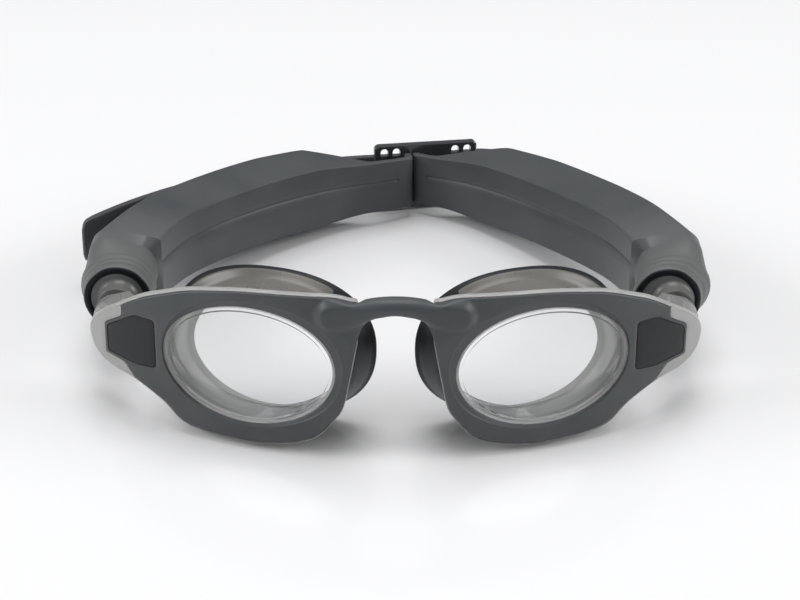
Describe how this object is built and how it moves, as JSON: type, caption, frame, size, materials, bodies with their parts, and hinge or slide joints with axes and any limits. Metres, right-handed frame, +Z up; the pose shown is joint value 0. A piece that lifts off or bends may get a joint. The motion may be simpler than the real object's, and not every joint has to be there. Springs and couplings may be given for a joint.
{
  "type": "swimming goggles",
  "caption": "Watertight eye goggles: clear eyecups in a soft one-piece frame, flared face seals, temple ball studs and a padded head strap threaded through a rear slotted buckle.",
  "frame": {"origin": "middle of the footprint box, on the plane that the goggles stand on", "axes": "+X across the front from the left temple to the right one, -Y out of the front through the windows, +Z up, as the goggles stand on a table with the strap loop behind"},
  "size_m": [0.1766, 0.1458, 0.0458],
  "materials": {
    "frame": "satin overmoulded elastomer",
    "lens": "clear polished polycarbonate",
    "gasket": "soft satin silicone",
    "inlay": "fine matte moulded insert",
    "stud": "semi-gloss moulded plastic",
    "collar": "black silicone ring",
    "strap": "satin silicone",
    "buckle": "gloss black moulded plastic"
  },
  "bodies": {
    "eyepieces": {"frame_overmould": "frame", "lens_left": "lens", "lens_right": "lens", "gasket_left": "gasket", "gasket_right": "gasket", "temple_inlay_left": "inlay", "temple_inlay_right": "inlay", "temple_stud_left": "stud", "temple_stud_right": "stud"},
    "strap": {"hood_collar_left": "collar", "hood_collar_right": "collar", "strap_left": "strap", "strap_right": "strap", "rear_buckle": "buckle", "strap_fold_left": "strap", "strap_fold_right": "strap"},
    "tail_left": {"strap_tail_left": "strap"},
    "tail_right": {"strap_tail_right": "strap"}
  },
  "joints": [
    {"name": "strap_tilt", "type": "hinge", "parent": "eyepieces", "child": "strap", "pos_m": [0, -0.02672, 0.02123], "axis": [1, 0, 0], "range_deg": [-12, 16]},
    {"name": "left_end_pull", "type": "hinge", "parent": "strap", "child": "tail_left", "pos_m": [0.01348, -0.05148, 0.02399], "axis": [0, 0.111, 0.9938], "range_deg": [0, 5.78], "deforming": ["strap_fold_left"]},
    {"name": "right_end_pull", "type": "hinge", "parent": "strap", "child": "tail_right", "pos_m": [0.02455, -0.04692, 0.02349], "axis": [0, -0.111, -0.9938], "range_deg": [0, 5.78], "deforming": ["strap_fold_right"]}
  ]
}
